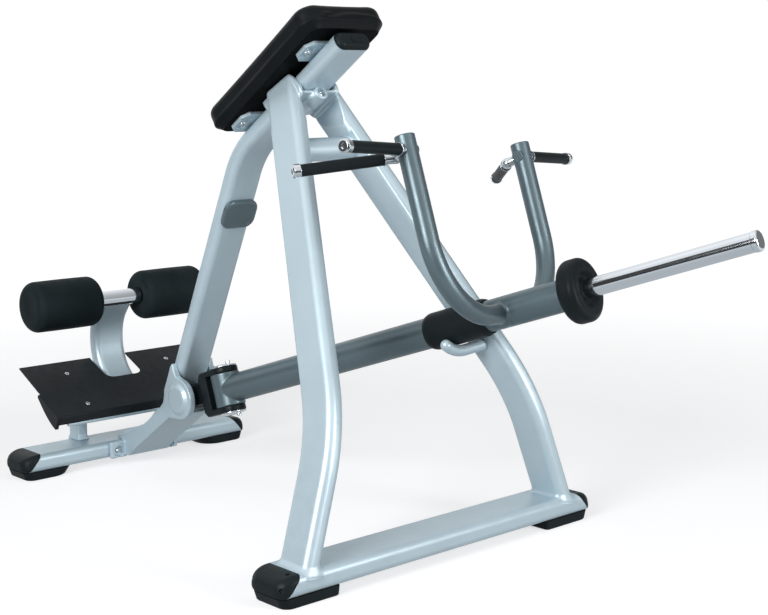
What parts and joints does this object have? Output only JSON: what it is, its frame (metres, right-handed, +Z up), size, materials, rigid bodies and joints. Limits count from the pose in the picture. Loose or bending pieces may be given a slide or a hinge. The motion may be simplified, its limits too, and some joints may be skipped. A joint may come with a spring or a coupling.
{
  "type": "t-bar row machine",
  "caption": "Chest-supported row machine: an A-frame with a padded bench, foot plate and rollers, and a pivoting lever arm with a forked handle yoke and a plate horn.",
  "frame": {"origin": "on the floor, under the middle of the machine's bounding box", "axes": "+X along the machine from the foot plate to the weight horn, +Y to its right as seen by the user leaning on the chest pad, +Z up"},
  "size_m": [2.281, 1.3294, 1.4121],
  "materials": {
    "silver_paint": "satin silver powder coat",
    "grey_paint": "satin blue-grey metallic powder coat",
    "black_paint": "satin black powder coat",
    "black_plastic": "fine-grained moulding",
    "rubber": "matte black",
    "upholstery": "coated fabric over foam",
    "roller_foam": "foam with a coated skin",
    "chrome": "bright plated",
    "steel": "zinc plated"
  },
  "bodies": {
    "frame": {"front_base_bar": "silver_paint", "rear_base_bar": "silver_paint", "left_leg": "silver_paint", "right_leg": "silver_paint", "spine_tube": "silver_paint", "head_saddle": "silver_paint", "head_bolt": "steel", "leg_brace": "silver_paint", "roller_post": "silver_paint", "roller_axle": "chrome", "foot_frame": "silver_paint", "foot_plate": "black_paint", "front_left_plate_screw": "steel", "front_right_plate_screw": "steel", "rear_left_plate_screw": "steel", "rear_right_plate_screw": "steel", "pivot_casting": "silver_paint", "left_casting_bolt": "steel", "right_casting_bolt": "steel", "pitch_axle": "steel", "rest_hook": "silver_paint", "nameplate_housing": "grey_paint", "spine_end_cap": "black_plastic", "upper_pad_plate": "silver_paint", "lower_pad_plate": "silver_paint", "upper_left_pad_bolt": "steel", "upper_right_pad_bolt": "steel", "lower_left_pad_bolt": "steel", "lower_right_pad_bolt": "steel", "pad_board": "black_plastic", "chest_pad": "upholstery", "front_left_end_cap": "black_plastic", "front_right_end_cap": "black_plastic", "rear_left_end_cap": "black_plastic", "rear_right_end_cap": "black_plastic", "front_left_foot": "rubber", "front_right_foot": "rubber", "rear_left_foot": "rubber", "rear_right_foot": "rubber"},
    "pivot_fork": {"clevis": "black_paint", "pivot_pin": "chrome", "pivot_pin_nut": "chrome"},
    "lever_arm": {"arm_tube": "grey_paint", "rest_sleeve": "rubber", "left_prong": "grey_paint", "right_prong": "grey_paint", "bumper": "rubber", "weight_horn": "chrome", "horn_cap": "chrome", "left_side_handle": "steel", "right_side_handle": "steel", "left_rear_handle": "steel", "right_rear_handle": "steel", "left_side_grip": "rubber", "right_side_grip": "rubber", "left_rear_grip": "rubber", "right_rear_grip": "rubber"},
    "left_foam_roller": {"left_roller": "roller_foam"},
    "right_foam_roller": {"right_roller": "roller_foam"}
  },
  "joints": [
    {"name": "arm_pitch", "type": "hinge", "parent": "frame", "child": "pivot_fork", "pos_m": [-0.59729, -0.1087, 0.262], "axis": [0, -1, 0], "range_deg": [0, 26]},
    {"name": "arm_swing", "type": "hinge", "parent": "pivot_fork", "child": "lever_arm", "pos_m": [-0.44532, -0.1087, 0.305], "axis": [0.3242, 0, -0.946], "range_deg": [0, 13.2]},
    {"name": "left_roller_spin", "type": "hinge", "parent": "frame", "child": "left_foam_roller", "pos_m": [-1.04909, -0.1087, 0.5188], "axis": [0, 1, 0], "continuous": true},
    {"name": "right_roller_spin", "type": "hinge", "parent": "frame", "child": "right_foam_roller", "pos_m": [-1.04909, -0.1087, 0.5188], "axis": [0, 1, 0], "continuous": true}
  ],
  "couplings": [
    {"joint": "arm_swing", "follows": "arm_pitch", "ratio": 0.50769}
  ]
}
